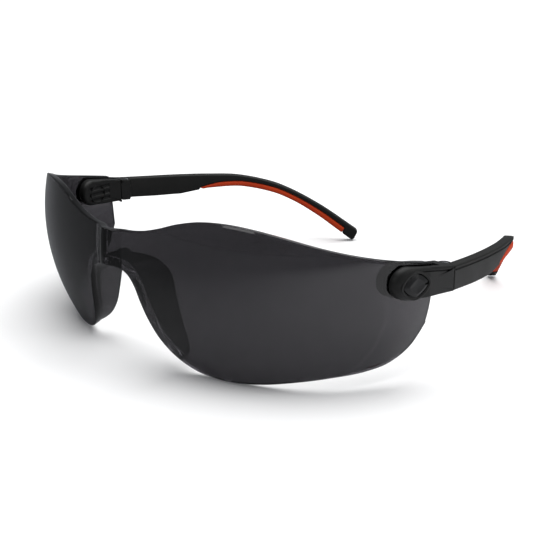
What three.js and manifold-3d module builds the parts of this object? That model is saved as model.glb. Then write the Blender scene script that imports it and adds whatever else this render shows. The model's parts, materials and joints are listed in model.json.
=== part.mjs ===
// Wraparound safety glasses: a one-piece smoked lens, two end pieces that tilt on ratchet
// pivots, and two temple arms that fold on vertical hinges. Millimetres, +Z up, the lens
// faces -Y and the arms run back along +Y. The glasses stand on the lens's two lower
// edges and on the two arm tips.
import * as THREE from 'three';
import { mergeVertices } from 'three/addons/utils/BufferGeometryUtils.js';
import Module from 'manifold-3d';

const wasm = await Module();
wasm.setup();

// ---------------------------------------------------------------- driving dimensions
const DEPTH = 144;              // front ridge of the lens to the arm tips
const GAP = 0.3;                // running gap between neighbouring pieces

// Lens: a plan curve that bends more and more towards the temples, and a vertical crown.
const LENS_THICKNESS = 2.2;
const RIDGE_SWEEP = 25;         // degrees each side of the nose ridge falls back
const RIDGE_HALF_WIDTH = 5.8;   // arc length from the ridge to the crease beside it
const CREASE_TURN = 23.5;       // degrees that the crease turns the surface outwards again
const CREASE_WIDTH = 2;
const PLAN_CURVATURE = [        // [arc length, curvature per metre]
  [0, 3.9], [18, 6.5], [36, 14.5], [54, 19.3], [72, 19.3], [90, 24.1], [110, 24.1],
];
const CROWN_RADIUS = 60;
const CROWN_HEIGHT = 31;        // height of the foremost line of the crown
const LENS_TOP = [              // [arc length, height] along the brow edge
  [0, 39.8], [4, 39.7], [8, 39.9], [11, 40.3], [15, 41.1], [20, 42.5], [26, 44.5], [33, 46],
  [41, 46.3], [49, 45.5], [57, 43.9], [65, 41.8], [73, 39.7], [81, 37.8], [88, 36.3],
  [94, 35.1], [99.2, 34.1],
];
const LENS_BOTTOM = [           // the same stations along the nose arch and the cheek edge
  [0, 29.4], [4.6, 28.8], [8.2, 27.2], [10.2, 24.6], [11.7, 20.2], [13.4, 15.2], [16, 9.6],
  [20.4, 4.6], [27, 1.2], [37, 0], [48, 0.7], [60, 2.4], [71, 3.8], [81, 4.8], [89, 6.4],
  [95.6, 10.2], [100, 16.6],
];
const REAR_BULGE = 0.5;         // how far the shield's rear edge bows out
const LENS_COLUMNS = 34;
const LENS_ROWS = 9;

// Nose flange: the lens turned back round the nose arch.
const FLANGE_THICKNESS = 1.7;
const FLANGE_DEPTH = 10.4;
const FLANGE_DEPTH_TOP = 8;
const FLANGE_SPLAY = 0.12;      // sideways run per millimetre of depth
const FLANGE_END = 0.45;        // station along the lower edge where the flange dies out
const FLANGE_FADE = 2.2;        // power of the share along it by which its depth falls
const FLANGE_STEPS = 18;

// End piece: a housing that straddles the lens and carries the pivot and the hinge.
const PIVOT = { y: 45.2, z: 29.9 };
const FACE_X = 74.2;            // outer flat face
const FACE_FRONT_Y = 50;        // the face falls inwards in front of this
const FACE_TAPER = 0.15;
const INNER_X = 67.4;           // inner face at the hinge
const INNER_TAPER = 0.14;
const NOSE_CENTRE = { y: 43, z: 30.6, r: 4.4 };
const SEAM_Y = 60.6;
const SEAM_TOP = 32;
const SEAM_BOTTOM = 24.9;
const LENS_CLEARANCE = 0.45;
const LENS_MARGIN = 0.05;       // the slot runs past the lens's edges by this share of its height
const TILT = 10;                // degrees the end piece tilts each way
const SPLIT_Y = 56.2;           // the inner plate ends here, in front of the hinge block
const GROOVE = { count: 3, pitch: 2.1, depth: 0.45, width: 0.9, from: 41.2, to: 51 };

// Ratchet pivot.
const SHAFT_R = 1.5;
const SHAFT_HOLE_R = 1.8;
const BUTTON = { length: 8.4, height: 6.2, depth: 0.9, proud: 0.5, power: 1.45 };
const DISC = { r: 4, tooth: 0.5, teeth: 18, hole: 1.8, length: 2.4 };
const WASHER = { r: 3.1, hole: 1.8, thickness: 0.4 };
const CAP = { r: 3.2, thickness: 0.9, recess: 0.6 };

// Hinge.
const HINGE_X = 70.6;
const KNUCKLE_R = 2.1;
const KNUCKLE_HEIGHT = 2.1;
const SCREW = { r: 0.7, head: 1.3, headHeight: 0.7, hole: 1 };
const INSERT = { r: 1.3, height: 1.3 };

// Temple arm: outer top edge [x, y, z], and [y, full height] and [y, grip height].
const ARM_EDGE = [
  [74.2, 60.9, 32], [72.4, 72, 31], [69.9, 84, 30], [66.4, 96, 28.9], [61.4, 108, 27.4],
  [53.6, 120, 23.4], [43.6, 132, 15.4], [32.2, 144, 4],
];
const ARM_HEIGHT = [
  [60, 7.1], [74, 7.2], [84, 7], [95, 5.2], [108, 4.2], [120, 3.9], [132, 4.2], [144, 4],
];
const GRIP_HEIGHT = [[92, 0.8], [99, 1.9], [115, 2.1], [130, 2.3], [141, 2.2]];
const ARM_THICKNESS = 3.2;
const GRIP_START = 92;
const GRIP_END = 140.6;
const ARM_STEPS = 40;
const TIP_LEAN = 0.5;           // the sections lean forwards at the tip, square to its slope
const TIP_LEAN_FROM = 124;

const SMOKE = { color: 0x2b2b2d, roughness: 0.08, metalness: 0 };
const BLACK = { color: 0x1d1d1c, roughness: 0.55, metalness: 0 };
const ORANGE = { color: 0xc4380f, roughness: 0.7, metalness: 0 };
const STEEL = { color: 0x8d9094, roughness: 0.35, metalness: 1 };
const BRASS = { color: 0xb08d4a, roughness: 0.35, metalness: 1 };

// ---------------------------------------------------------------- small tools
const radians = THREE.MathUtils.degToRad;

// Straight interpolation in a list of [place, value].
function lookUp(list, place) {
  const last = list.length - 1;
  if (place <= list[0][0]) return list[0][1];
  for (let i = 0; i < last; i += 1) {
    const [a, va] = list[i];
    const [b, vb] = list[i + 1];
    if (place <= b) return va + ((vb - va) * (place - a)) / (b - a);
  }
  return list[last][1];
}

// A smooth curve through 2-D or 3-D points.
function smoothCurve(points) {
  return new THREE.CatmullRomCurve3(points.map((p) => new THREE.Vector3(...p)), false, 'centripetal');
}

function geometryFrom(positions, triangles) {
  const geometry = new THREE.BufferGeometry();
  geometry.setAttribute('position', new THREE.BufferAttribute(new Float32Array(positions), 3));
  geometry.setIndex(triangles);
  return geometry;
}

// A closed body through equal loops of points. The first half of each loop is one wall and
// the second half is the other wall coming back, so the end caps are strips between them.
function skinLoops(loops) {
  const size = loops[0].length;
  const triangles = [];
  for (let i = 0; i < loops.length - 1; i += 1) {
    for (let j = 0; j < size; j += 1) {
      const a = i * size + j;
      const b = i * size + ((j + 1) % size);
      triangles.push(a, a + size, b, b, a + size, b + size);
    }
  }
  const end = (loops.length - 1) * size;
  for (let j = 0; j < size / 2 - 1; j += 1) {
    const k = size - 1 - j;
    triangles.push(j, j + 1, k, j + 1, k - 1, k);
    triangles.push(end + j, end + k, end + j + 1, end + j + 1, end + k, end + k - 1);
  }
  return geometryFrom(loops.flat(2), triangles);
}

function volumeOf(geometry) {
  const p = geometry.attributes.position;
  const index = geometry.index.array;
  const [a, b, c] = [new THREE.Vector3(), new THREE.Vector3(), new THREE.Vector3()];
  let sum = 0;
  for (let i = 0; i < index.length; i += 3) {
    a.fromBufferAttribute(p, index[i]);
    b.fromBufferAttribute(p, index[i + 1]);
    c.fromBufferAttribute(p, index[i + 2]);
    sum += a.dot(b.cross(c)) / 6;
  }
  return sum;
}

function turnInsideOut(geometry) {
  const index = geometry.index.array;
  for (let i = 0; i < index.length; i += 3) {
    [index[i + 1], index[i + 2]] = [index[i + 2], index[i + 1]];
  }
  return geometry;
}

function facingOut(geometry) {
  return volumeOf(geometry) < 0 ? turnInsideOut(geometry) : geometry;
}

function solidOf(geometry) {
  const bare = geometry.clone();
  bare.deleteAttribute('normal');
  bare.deleteAttribute('uv');
  const merged = facingOut(mergeVertices(bare, 1e-4));
  return new wasm.Manifold(new wasm.Mesh({
    numProp: 3,
    vertProperties: new Float32Array(merged.attributes.position.array),
    triVerts: new Uint32Array(merged.index.array),
  }));
}

function geometryOf(solid) {
  const mesh = solid.getMesh();
  return mergeVertices(geometryFrom(mesh.vertProperties, Array.from(mesh.triVerts)), 1e-3);
}

function mirrored(geometry) {
  const copy = geometry.clone();
  copy.scale(-1, 1, 1);
  return turnInsideOut(copy);
}

// A bar along X from x0 to x1 with an outline of [y, z] points.
function barAlongX(outline, x0, x1) {
  const shape = new THREE.Shape(outline.map(([y, z]) => new THREE.Vector2(y, z)));
  const geometry = new THREE.ExtrudeGeometry(shape, { depth: x1 - x0, bevelEnabled: false });
  const turn = new THREE.Matrix4().set(0, 0, 1, x0, 1, 0, 0, 0, 0, 1, 0, 0, 0, 0, 0, 1);
  return solidOf(geometry.applyMatrix4(turn));
}

// A bar along Z from z0 to z1 with an outline of [x, y] points.
function barAlongZ(outline, z0, z1) {
  const shape = new THREE.Shape(outline.map(([x, y]) => new THREE.Vector2(x, y)));
  const geometry = new THREE.ExtrudeGeometry(shape, { depth: z1 - z0, bevelEnabled: false });
  return solidOf(geometry.translate(0, 0, z0));
}

function ring(radius, steps, wobble = () => 0) {
  return Array.from({ length: steps }, (_, i) => {
    const angle = (2 * Math.PI * i) / steps;
    const r = radius + wobble(i);
    return [r * Math.cos(angle), r * Math.sin(angle)];
  });
}

const around = (points, cy, cz) => points.map(([a, b]) => [a + cy, b + cz]);
const rodAlongX = (r, x0, x1, steps = 20) => barAlongX(around(ring(r, steps), PIVOT.y, PIVOT.z), x0, x1);
const rodAlongZ = (r, z0, z1, steps = 20) => barAlongZ(around(ring(r, steps), HINGE_X, SEAM_Y), z0, z1);
const block = (x0, x1, y0, y1, z0, z1) => barAlongZ([[x0, y0], [x1, y0], [x1, y1], [x0, y1]], z0, z1);

// ---------------------------------------------------------------- lens
// The plan curve as a table of [x, y, heading] every PLAN_STEP of arc length.
const PLAN_STEP = 0.25;
const PLAN = [[0, 0, radians(RIDGE_SWEEP)]];
for (let s = 0, bend = radians(RIDGE_SWEEP); s < PLAN_CURVATURE.at(-1)[0]; s += PLAN_STEP) {
  const [x, y, heading] = PLAN.at(-1);
  bend += (lookUp(PLAN_CURVATURE, s + PLAN_STEP / 2) / 1000) * PLAN_STEP;
  const crease = THREE.MathUtils.clamp((s + PLAN_STEP - RIDGE_HALF_WIDTH + CREASE_WIDTH / 2) / CREASE_WIDTH, 0, 1);
  const next = bend - radians(CREASE_TURN) * crease;
  const middle = (heading + next) / 2;
  PLAN.push([x + Math.cos(middle) * PLAN_STEP, y + Math.sin(middle) * PLAN_STEP, next]);
}

// A point of the lens: arc length s from the ridge (negative on the left), height z, and
// the depth below the outer surface, measured along the surface's own normal.
function lensPoint(s, z, depth) {
  const side = Math.sign(s) || 1;
  const place = Math.abs(s) / PLAN_STEP;
  const i = Math.min(Math.floor(place), PLAN.length - 2);
  const [x, y, heading] = PLAN[i].map((value, k) => THREE.MathUtils.lerp(value, PLAN[i + 1][k], place - i));
  const rise = z - CROWN_HEIGHT;
  const drop = (rise * rise) / (2 * CROWN_RADIUS);
  const lean = Math.atan(rise / CROWN_RADIUS);
  const onRidge = Math.abs(s) < 1e-6;
  const turn = onRidge ? 0 : heading;
  const inward = drop + (depth * Math.cos(lean)) / (onRidge ? Math.cos(heading) : 1);
  return [
    side * (x - Math.sin(turn) * inward),
    y + Math.cos(turn) * inward,
    z - depth * Math.sin(lean),
  ];
}

const topEdge = smoothCurve(LENS_TOP.map(([s, z]) => [s, z, 0]));
const bottomEdge = smoothCurve(LENS_BOTTOM.map(([s, z]) => [s, z, 0]));

// Arc length and height of the lens at station t from the ridge and at share v of its height.
function onLens(t, v) {
  const low = bottomEdge.getPoint(t);
  const high = topEdge.getPoint(t);
  const bulge = REAR_BULGE * 4 * v * (1 - v) * t ** 8;
  return [THREE.MathUtils.lerp(low.x, high.x, v) + bulge, THREE.MathUtils.lerp(low.y, high.y, v)];
}

function lensShell(clearance = 0, margin = 0) {
  const loops = [];
  for (let i = -LENS_COLUMNS; i <= LENS_COLUMNS; i += 1) {
    const t = Math.abs(i) / LENS_COLUMNS;
    const side = Math.sign(i) || 1;
    const outer = [];
    const inner = [];
    for (let j = 0; j <= LENS_ROWS; j += 1) {
      const [s, z] = onLens(t, (j / LENS_ROWS) * (1 + 2 * margin) - margin);
      outer.push(lensPoint(side * s, z, -clearance));
      inner.unshift(lensPoint(side * s, z, LENS_THICKNESS + clearance));
    }
    loops.push([...outer, ...inner]);
  }
  return solidOf(skinLoops(loops));
}

// The flange follows the lower edge from one cheek, over the nose arch, to the other.
function noseFlange() {
  const loops = [];
  for (let i = -FLANGE_STEPS; i <= FLANGE_STEPS; i += 1) {
    const share = Math.abs(i) / FLANGE_STEPS;
    const t = share * FLANGE_END;
    const side = Math.sign(i) || 1;
    const [s, z] = onLens(t, 0);
    const [sAhead, zAhead] = onLens(t + 0.01, 0);
    const run = new THREE.Vector2(sAhead - s, zAhead - z).normalize();
    const away = [i === 0 ? 0 : -run.y * FLANGE_THICKNESS, run.x * FLANGE_THICKNESS];
    const fade = Math.sqrt(Math.max(0, 1 - share ** FLANGE_FADE));
    const full = THREE.MathUtils.lerp(FLANGE_DEPTH_TOP, FLANGE_DEPTH, Math.min(1, share * 2.5));
    const depth = Math.max(0.4, full * fade);
    const root = lensPoint(side * s, z, LENS_THICKNESS * 0.4);
    const inside = lensPoint(side * (s + away[0]), z + away[1], LENS_THICKNESS * 0.4);
    const reach = LENS_THICKNESS * 0.6 + depth;
    const back = ([x, y, h]) => [x + side * FLANGE_SPLAY * depth * Math.min(1, share * 4), y + reach, h];
    loops.push([root, back(root), back(inside), inside]);
  }
  return solidOf(skinLoops(loops));
}

// ---------------------------------------------------------------- end piece
// A solid turned about the pivot's own axis.
function tilted(solid, degrees) {
  const geometry = geometryOf(solid).translate(0, -PIVOT.y, -PIVOT.z);
  return solidOf(geometry.rotateX(radians(degrees)).translate(0, PIVOT.y, PIVOT.z));
}

// Side outline of the end piece as [y, z], round at the front and grown by `grow`.
function endOutline(grow = 0) {
  const { y, z, r } = NOSE_CENTRE;
  const arc = [];
  const steps = 14;
  for (let i = 0; i <= steps; i += 1) {
    const angle = radians(86 + (182 * i) / steps);
    arc.push([y + (r + grow) * Math.cos(angle), z + (r + grow) * Math.sin(angle)]);
  }
  const seam = SEAM_Y - GAP / 2;
  return [
    [seam, SEAM_BOTTOM - grow], [seam, SEAM_TOP + grow], [52, 33.6 + grow], [47, 34.4 + grow],
    ...arc,
    [47, 26 - grow], [53, 25.6 - grow],
  ];
}

// The slot for the lens is wide enough for every tilt of the end piece.
const clearLens = lensShell(LENS_CLEARANCE, LENS_MARGIN);
let slot = clearLens;
for (const share of [-1, -0.5, 0.5, 1]) {
  slot = slot.add(tilted(clearLens, share * (TILT + 1)));
}

// Plan outline between the outer face and an inner face, as [x, y].
function facePrism(xInner, taperInner, z0, z1) {
  const front = 30;
  const seam = SEAM_Y;
  return barAlongZ([
    [xInner - taperInner * (SEAM_Y - front), front],
    [FACE_X - FACE_TAPER * (FACE_FRONT_Y - front), front],
    [FACE_X, FACE_FRONT_Y], [FACE_X, seam], [xInner, seam],
  ], z0, z1);
}

const endBlock = barAlongX(endOutline(), 55, 80).intersect(facePrism(INNER_X, INNER_TAPER, 10, 50));

// The middle of the lens's thickness parts the end piece in two: the inner plate on the
// wearer's side, in front of the hinge block, and the housing, which is the rest.
const parting = [];
for (let s = 70; s <= 96; s += 2) {
  parting.push(lensPoint(s, CROWN_HEIGHT, LENS_THICKNESS / 2).slice(0, 2));
}
const partingX = parting.at(-1)[0];
const innerSide = barAlongZ([...parting, [partingX, SPLIT_Y], [50, SPLIT_Y], [50, parting[0][1]]], 10, 50);
const outerSide = barAlongZ([
  ...parting, [partingX, SPLIT_Y + GAP], [50, SPLIT_Y + GAP], [50, 70], [90, 70], [90, parting[0][1]],
], 10, 50);

function buttonOutline(grow) {
  // A rounded rhombus: |a|^p + |b|^p = 1.
  const steps = 32;
  return Array.from({ length: steps }, (_, i) => {
    const angle = (2 * Math.PI * i) / steps;
    const [c, s] = [Math.cos(angle), Math.sin(angle)];
    const r = (Math.abs(c) ** BUTTON.power + Math.abs(s) ** BUTTON.power) ** (-1 / BUTTON.power);
    return [PIVOT.y + r * c * (BUTTON.length / 2 + grow), PIVOT.z + r * s * (BUTTON.height / 2 + grow)];
  });
}

const faceAtPivot = FACE_X - FACE_TAPER * (FACE_FRONT_Y - PIVOT.y);
const innerAtPivot = INNER_X - INNER_TAPER * (SEAM_Y - PIVOT.y);
const buttonFloor = faceAtPivot - BUTTON.depth;
const capFloor = innerAtPivot + CAP.recess;
const discInner = 68.2;
const washerInner = discInner - GAP - WASHER.thickness;

const hingeClear = KNUCKLE_R + GAP;
const lowKnuckle = SEAM_BOTTOM + KNUCKLE_HEIGHT;
const highKnuckle = SEAM_TOP - KNUCKLE_HEIGHT;

function endpieceOuter() {
  const knuckles = [[SEAM_BOTTOM, lowKnuckle], [highKnuckle, SEAM_TOP]].map(([z0, z1]) => rodAlongZ(KNUCKLE_R, z0, z1));
  return endBlock.intersect(outerSide)
    .subtract(slot)
    .subtract(rodAlongX(SHAFT_HOLE_R, 60, 80))
    .subtract(rodAlongX(DISC.r + GAP, 60, discInner + DISC.length + GAP, 36))
    .subtract(barAlongX(buttonOutline(GAP), buttonFloor - GAP, 80))
    .subtract(rodAlongZ(hingeClear, lowKnuckle, highKnuckle, 24))
    .add(knuckles[0]).add(knuckles[1])
    .subtract(rodAlongZ(SCREW.hole, SEAM_BOTTOM - 1, SEAM_TOP + 1))
    .subtract(rodAlongZ(SCREW.head + GAP, SEAM_TOP - SCREW.headHeight - GAP, SEAM_TOP + 1))
    .subtract(rodAlongZ(INSERT.r + GAP, SEAM_BOTTOM - 1, SEAM_BOTTOM + INSERT.height + GAP));
}

// One of the level finger grooves across the inner plate and the pivot cap.
function fingerGroove(z) {
  const face = (y) => INNER_X - INNER_TAPER * (SEAM_Y - y);
  const { from, to, depth, width } = GROOVE;
  return barAlongZ([
    [face(from) - 3, from], [face(from) + depth, from], [face(to) + depth, to], [face(to) - 3, to],
  ], z - width / 2, z + width / 2);
}

function grooved(solid) {
  const middle = (GROOVE.count - 1) / 2;
  let result = solid;
  for (let i = 0; i < GROOVE.count; i += 1) {
    result = result.subtract(fingerGroove(PIVOT.z + (i - middle) * GROOVE.pitch));
  }
  return result;
}

function endpieceInner() {
  const plate = endBlock.intersect(innerSide).subtract(slot)
    .subtract(rodAlongX(SHAFT_HOLE_R, 60, 80))
    .subtract(rodAlongX(DISC.r + GAP, discInner - GAP, 80, 36))
    .subtract(rodAlongX(WASHER.r + GAP, washerInner - GAP, 80))
    .subtract(rodAlongX(CAP.r + GAP, 50, capFloor));
  return grooved(plate);
}

function pivotButton() {
  const head = barAlongX(buttonOutline(0), buttonFloor, faceAtPivot + BUTTON.proud);
  return head.add(rodAlongX(SHAFT_R, capFloor + GAP, buttonFloor + 0.2));
}

function ratchetDisc() {
  const outline = ring(DISC.r, DISC.teeth * 4, (i) => (i % 4 < 2 ? 0 : -DISC.tooth));
  return barAlongX(around(outline, PIVOT.y, PIVOT.z), discInner, discInner + DISC.length)
    .subtract(rodAlongX(DISC.hole, 60, 80));
}

function springWasher() {
  return rodAlongX(WASHER.r, washerInner, washerInner + WASHER.thickness, 28)
    .subtract(rodAlongX(WASHER.hole, 60, 80, 28));
}

function pivotCap() {
  return grooved(rodAlongX(CAP.r, capFloor - CAP.thickness, capFloor, 28));
}

// ---------------------------------------------------------------- hinge
const screwFoot = SEAM_BOTTOM + 0.5;

function hingeScrew() {
  return rodAlongZ(SCREW.r, screwFoot, SEAM_TOP - 0.2, 16)
    .add(rodAlongZ(SCREW.head, SEAM_TOP - SCREW.headHeight, SEAM_TOP, 20));
}

function hingeInsert() {
  return rodAlongZ(INSERT.r, SEAM_BOTTOM, SEAM_BOTTOM + INSERT.height, 20)
    .subtract(rodAlongZ(SCREW.hole, SEAM_BOTTOM - 1, SEAM_TOP, 20));
}

// ---------------------------------------------------------------- temple arm
const armCurve = smoothCurve(ARM_EDGE);

// A swept bar between two heights below the arm's outer top edge, over part of its length.
function armBar(from, to, upper, lower, inset = 0) {
  const loops = [];
  for (let i = 0; i <= ARM_STEPS; i += 1) {
    const t = from + ((to - from) * i) / ARM_STEPS;
    const edge = armCurve.getPoint(t);
    const run = armCurve.getTangent(t);
    const out = new THREE.Vector2(run.y, -run.x).normalize();
    const lean = TIP_LEAN * THREE.MathUtils.smoothstep(edge.y, TIP_LEAN_FROM, DEPTH);
    const at = (d, z) => [edge.x - out.x * d + out.y * lean * z, edge.y - out.y * d - out.x * lean * z, edge.z - z];
    const [near, far] = [inset, ARM_THICKNESS - inset];
    const [top, foot] = [upper(edge.y), lower(edge.y)];
    loops.push([at(near, top), at(far, top), at(far, foot), at(near, foot)]);
  }
  return solidOf(skinLoops(loops));
}

// The share of the arm curve at which it reaches a given y.
function armShareAt(y) {
  let [low, high] = [0, 1];
  for (let i = 0; i < 40; i += 1) {
    const middle = (low + high) / 2;
    if (armCurve.getPoint(middle).y < y) low = middle;
    else high = middle;
  }
  return low;
}

const fullHeight = (y) => lookUp(ARM_HEIGHT, y);
const gripTop = (y) => lookUp(ARM_HEIGHT, y) - lookUp(GRIP_HEIGHT, y);

function templeArm() {
  const bed = armBar(armShareAt(GRIP_START - GAP), armShareAt(GRIP_END + GAP), (y) => gripTop(y) - GAP, () => 12, -1);
  const seam = SEAM_Y + GAP / 2;
  const knuckle = rodAlongZ(KNUCKLE_R, lowKnuckle + GAP, highKnuckle - GAP);
  const web = block(HINGE_X, HINGE_X + KNUCKLE_R, SEAM_Y, SEAM_Y + 3.5, lowKnuckle + GAP, highKnuckle - GAP);
  const low = rodAlongZ(hingeClear, SEAM_BOTTOM - 2, lowKnuckle + GAP, 24);
  const high = rodAlongZ(hingeClear, highKnuckle - GAP, SEAM_TOP + 2, 24);
  return armBar(0, 1, () => 0, fullHeight)
    .subtract(bed)
    .subtract(block(50, 90, 40, seam, 0, 60))
    .subtract(low).subtract(high)
    .add(knuckle).add(web)
    .subtract(rodAlongZ(SCREW.hole, 10, 50));
}

function softGrip() {
  return armBar(armShareAt(GRIP_START), armShareAt(GRIP_END), gripTop, fullHeight);
}

// ---------------------------------------------------------------- assembly
const glasses = new THREE.Group();

function addPiece(name, geometry, finish) {
  const mesh = new THREE.Mesh(geometry, new THREE.MeshStandardMaterial(finish));
  mesh.name = name;
  glasses.add(mesh);
}

const discHole = rodAlongX(DISC.r + GAP, 60, 80, 36);
const lensSolid = lensShell().add(noseFlange())
  .subtract(discHole)
  .subtract(solidOf(mirrored(geometryOf(discHole))));
addPiece('lens', geometryOf(lensSolid), SMOKE);

const SIDE_PIECES = [
  ['endpiece_outer', endpieceOuter(), BLACK],
  ['endpiece_inner', endpieceInner(), BLACK],
  ['pivot_button', pivotButton(), BLACK],
  ['ratchet_disc', ratchetDisc(), BLACK],
  ['spring_washer', springWasher(), STEEL],
  ['pivot_cap', pivotCap(), BLACK],
  ['hinge_screw', hingeScrew(), STEEL],
  ['hinge_insert', hingeInsert(), BRASS],
  ['temple_arm', templeArm(), BLACK],
  ['soft_grip', softGrip(), ORANGE],
];
for (const [name, solid, finish] of SIDE_PIECES) {
  const geometry = geometryOf(solid);
  addPiece(`right_${name}`, geometry, finish);
  addPiece(`left_${name}`, mirrored(geometry), finish);
}

// The origin is on the ground, below the middle of the bounding box.
glasses.position.y = -DEPTH / 2;

export default glasses;
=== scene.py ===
"""Wraparound safety glasses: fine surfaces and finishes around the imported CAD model.

The file follows the glasses as they are put together: the lens, then on each side the end
piece with its pivot and hinge, the temple arm and its soft grip.
"""
import json
import math

import bmesh
import bpy
import numpy as np
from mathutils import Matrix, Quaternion, Vector


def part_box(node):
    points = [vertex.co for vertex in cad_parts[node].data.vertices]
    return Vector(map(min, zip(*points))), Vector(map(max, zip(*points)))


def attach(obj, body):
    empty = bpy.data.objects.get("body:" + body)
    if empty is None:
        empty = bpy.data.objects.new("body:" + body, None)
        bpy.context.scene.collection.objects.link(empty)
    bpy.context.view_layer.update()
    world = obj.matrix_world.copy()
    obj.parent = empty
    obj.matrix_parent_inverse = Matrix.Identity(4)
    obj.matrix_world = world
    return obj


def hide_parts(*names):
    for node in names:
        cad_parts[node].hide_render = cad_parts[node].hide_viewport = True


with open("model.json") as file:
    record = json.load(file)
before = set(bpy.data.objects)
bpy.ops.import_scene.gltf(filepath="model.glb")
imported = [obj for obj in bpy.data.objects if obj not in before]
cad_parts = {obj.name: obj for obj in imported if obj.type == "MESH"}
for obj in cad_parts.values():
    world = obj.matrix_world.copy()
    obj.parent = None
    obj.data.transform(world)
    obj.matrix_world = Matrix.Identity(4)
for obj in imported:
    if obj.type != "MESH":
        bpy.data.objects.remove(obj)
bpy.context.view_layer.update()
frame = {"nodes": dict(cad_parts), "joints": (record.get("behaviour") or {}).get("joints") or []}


# ------------------------------------------------------------ camera, floor and light
# The glasses stand on white paper under a large soft light, in a darker room. In reflections
# and bounced light the paper is painted grey, darker away from its middle: a painted reflection that
# gives the glossy lens a soft horizon. Metres.
AIM = Vector((0, -0.0032, 0.0084))
CAMERA_DISTANCE = 0.3388
CAMERA_AZIMUTH = math.radians(45.32)
CAMERA_ELEVATION = math.radians(18.64)
CAMERA_ROLL = math.radians(-0.21)
FOCAL_LENGTH = 67.06

camera = bpy.data.objects.new("camera", bpy.data.cameras.new("camera"))
camera.data.lens = FOCAL_LENGTH
camera.data.clip_start = 0.01
back = Vector((
    math.sin(CAMERA_AZIMUTH) * math.cos(CAMERA_ELEVATION),
    -math.cos(CAMERA_AZIMUTH) * math.cos(CAMERA_ELEVATION),
    math.sin(CAMERA_ELEVATION),
))
camera.location = AIM + back * CAMERA_DISTANCE
camera.rotation_mode = "QUATERNION"
camera.rotation_quaternion = (-back).to_track_quat("-Z", "Y") @ Quaternion((0, 0, 1), CAMERA_ROLL)
bpy.context.scene.collection.objects.link(camera)
bpy.context.scene.camera = camera
bpy.context.scene.view_settings.view_transform = "Standard"


def new_material(name, colour, roughness):
    """A Principled material with a plain colour and roughness: (material, node tree, shader)."""
    material = bpy.data.materials.new(name)
    material.use_nodes = True
    shader = material.node_tree.nodes["Principled BSDF"]
    shader.inputs["Base Color"].default_value = (*colour, 1)
    shader.inputs["Roughness"].default_value = roughness
    return material, material.node_tree, shader


def area_light(name, place, size, power):
    """A square white soft box that faces the glasses."""
    light = bpy.data.objects.new(name, bpy.data.lights.new(name, "AREA"))
    light.data.size = size
    light.data.energy = power
    light.location = place
    light.rotation_euler = (-Vector(place)).to_track_quat("-Z", "Y").to_euler()
    bpy.context.scene.collection.objects.link(light)


def table_top(radius, steps):
    """A flat disc: `steps` points at an even angle on one circle, filled as one face."""
    angle = np.linspace(0, 2 * np.pi, steps, endpoint=False)
    rim = np.stack([radius * np.cos(angle), radius * np.sin(angle), 0 * angle], -1)
    mesh = bpy.data.meshes.new("table_top")
    mesh.from_pydata(rim.tolist(), [], [list(range(steps))])
    return bpy.data.objects.new("table_top", mesh)


def seen_directly(tree):
    """1 for rays straight from the camera or through clear plastic, 0 for reflected ones."""
    path = tree.nodes.new("ShaderNodeLightPath")
    either = tree.nodes.new("ShaderNodeMath")
    either.operation = "MAXIMUM"
    tree.links.new(path.outputs["Is Camera Ray"], either.inputs[0])
    tree.links.new(path.outputs["Is Transmission Ray"], either.inputs[1])
    return either.outputs[0]


PAPER_WHITE = (0.9, 0.9, 0.9)
PAPER_MIDDLE = (0.2, 0, 0)
PAINTED_REFLECTION_FADE = (0.06, 0.29)       # distances from its middle over which its painted reflection darkens
# Painted reflection: the paper's colour in reflections and bounced light, grey near its middle and dark
# further out.
PAINTED_REFLECTION_NEAR = (0.78, 0.78, 0.8)
PAINTED_REFLECTION_FAR = (0.13, 0.135, 0.14)


def paper_with_painted_reflection():
    """White paper to the eye; in reflections and bounced light it is painted grey, darkening softly away
    from its middle: a painted reflection.
    """
    material, tree, shader = new_material("paper", PAPER_WHITE, 0.95)
    place = tree.nodes.new("ShaderNodeTexCoord")
    reach = tree.nodes.new("ShaderNodeVectorMath")
    reach.operation = "DISTANCE"
    reach.inputs[1].default_value = PAPER_MIDDLE
    edge = tree.nodes.new("ShaderNodeMapRange")
    edge.interpolation_type = "SMOOTHSTEP"
    edge.inputs["From Min"].default_value = PAINTED_REFLECTION_FADE[0]
    edge.inputs["From Max"].default_value = PAINTED_REFLECTION_FADE[1]
    # Painted reflection: grey paper fading to dark, for every ray except camera and transmission rays.
    reflected = tree.nodes.new("ShaderNodeMix")
    reflected.data_type = "RGBA"
    reflected.inputs["A"].default_value = (*PAINTED_REFLECTION_NEAR, 1)
    reflected.inputs["B"].default_value = (*PAINTED_REFLECTION_FAR, 1)
    shown = tree.nodes.new("ShaderNodeMix")
    shown.data_type = "RGBA"
    shown.inputs["B"].default_value = (*PAPER_WHITE, 1)
    tree.links.new(place.outputs["Object"], reach.inputs[0])
    tree.links.new(reach.outputs["Value"], edge.inputs["Value"])
    tree.links.new(edge.outputs["Result"], reflected.inputs["Factor"])
    tree.links.new(reflected.outputs["Result"], shown.inputs["A"])
    tree.links.new(seen_directly(tree), shown.inputs["Factor"])
    tree.links.new(shown.outputs["Result"], shader.inputs["Base Color"])
    return material


floor = table_top(2, 96)
floor.data.materials.append(paper_with_painted_reflection())
bpy.context.scene.collection.objects.link(floor)

area_light("overhead_soft_box", (0.2, 0.6, 3.6), 4.6, 240)
area_light("side_soft_box", (1.5, 0.9, 0.8), 0.8, 5)
area_light("front_soft_box", (0.2, -1.9, 0.9), 0.7, 4)

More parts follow.
